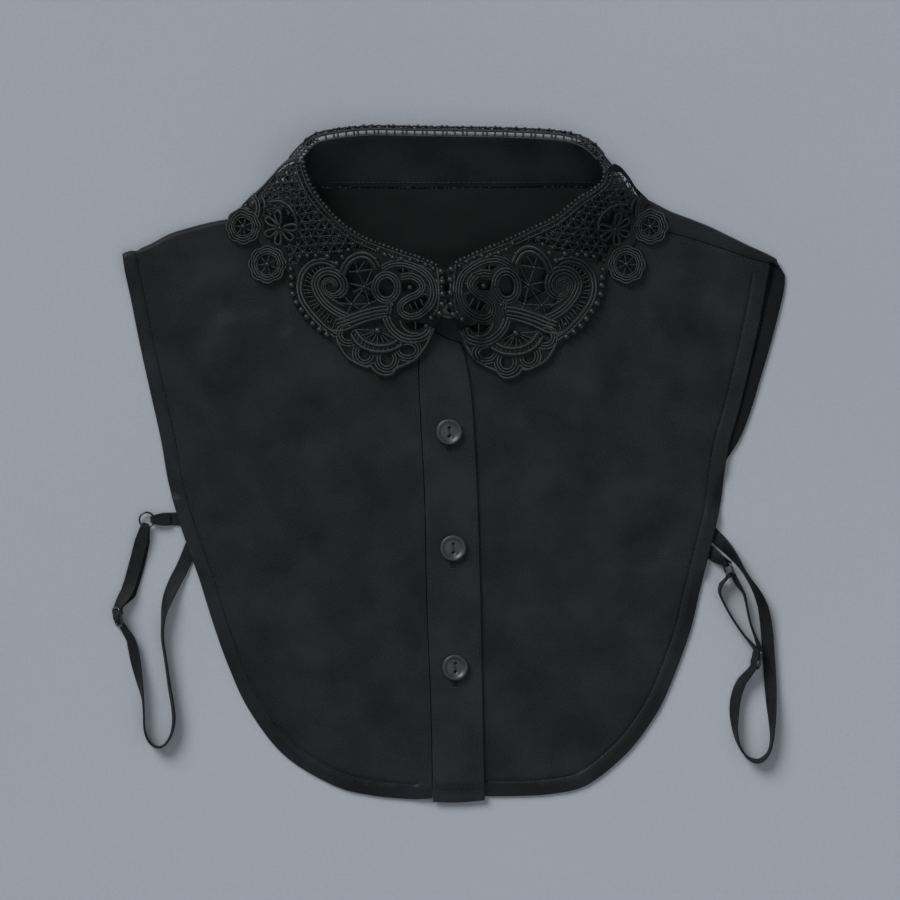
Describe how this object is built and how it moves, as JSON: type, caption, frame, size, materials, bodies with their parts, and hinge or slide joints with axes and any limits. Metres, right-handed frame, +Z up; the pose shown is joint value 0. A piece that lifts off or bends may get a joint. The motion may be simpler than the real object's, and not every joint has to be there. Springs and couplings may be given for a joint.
{
  "type": "false collar",
  "caption": "Black woven false collar with a buttoned front, stand band, guipure lace collar and adjustable side straps, laid flat.",
  "frame": {"origin": "on the surface it lies on, at the middle of the box round the cloth, lace and buttons, without the straps", "axes": "+Z up from the surface, out of the front; +Y from the hem to the neck; +X to the picture's right, which is the wearer's left side"},
  "size_m": [0.3367, 0.3374, 0.0254],
  "materials": {
    "cloth": "matt black sateen",
    "lace": "black guipure thread",
    "button": "glossy dark grey",
    "elastic": "ribbed black elastic",
    "metal": "black coating"
  },
  "bodies": {
    "root": {"back_panel": "cloth", "front_left": "cloth", "front_right": "cloth", "placket": "cloth", "neck_band": "cloth", "lace_left": "lace", "lace_right": "lace", "lace_back": "lace", "button_1": "button", "button_2": "button", "button_3": "button", "collar_button": "button", "strap_tab_left": "elastic", "strap_ring_left": "metal", "strap_slider_left": "metal", "strap_loop_left": "elastic", "strap_double_left": "elastic", "strap_tab_right": "elastic", "strap_ring_right": "metal", "strap_slider_right": "metal", "strap_loop_right": "elastic", "strap_double_right": "elastic"}
  },
  "joints": []
}
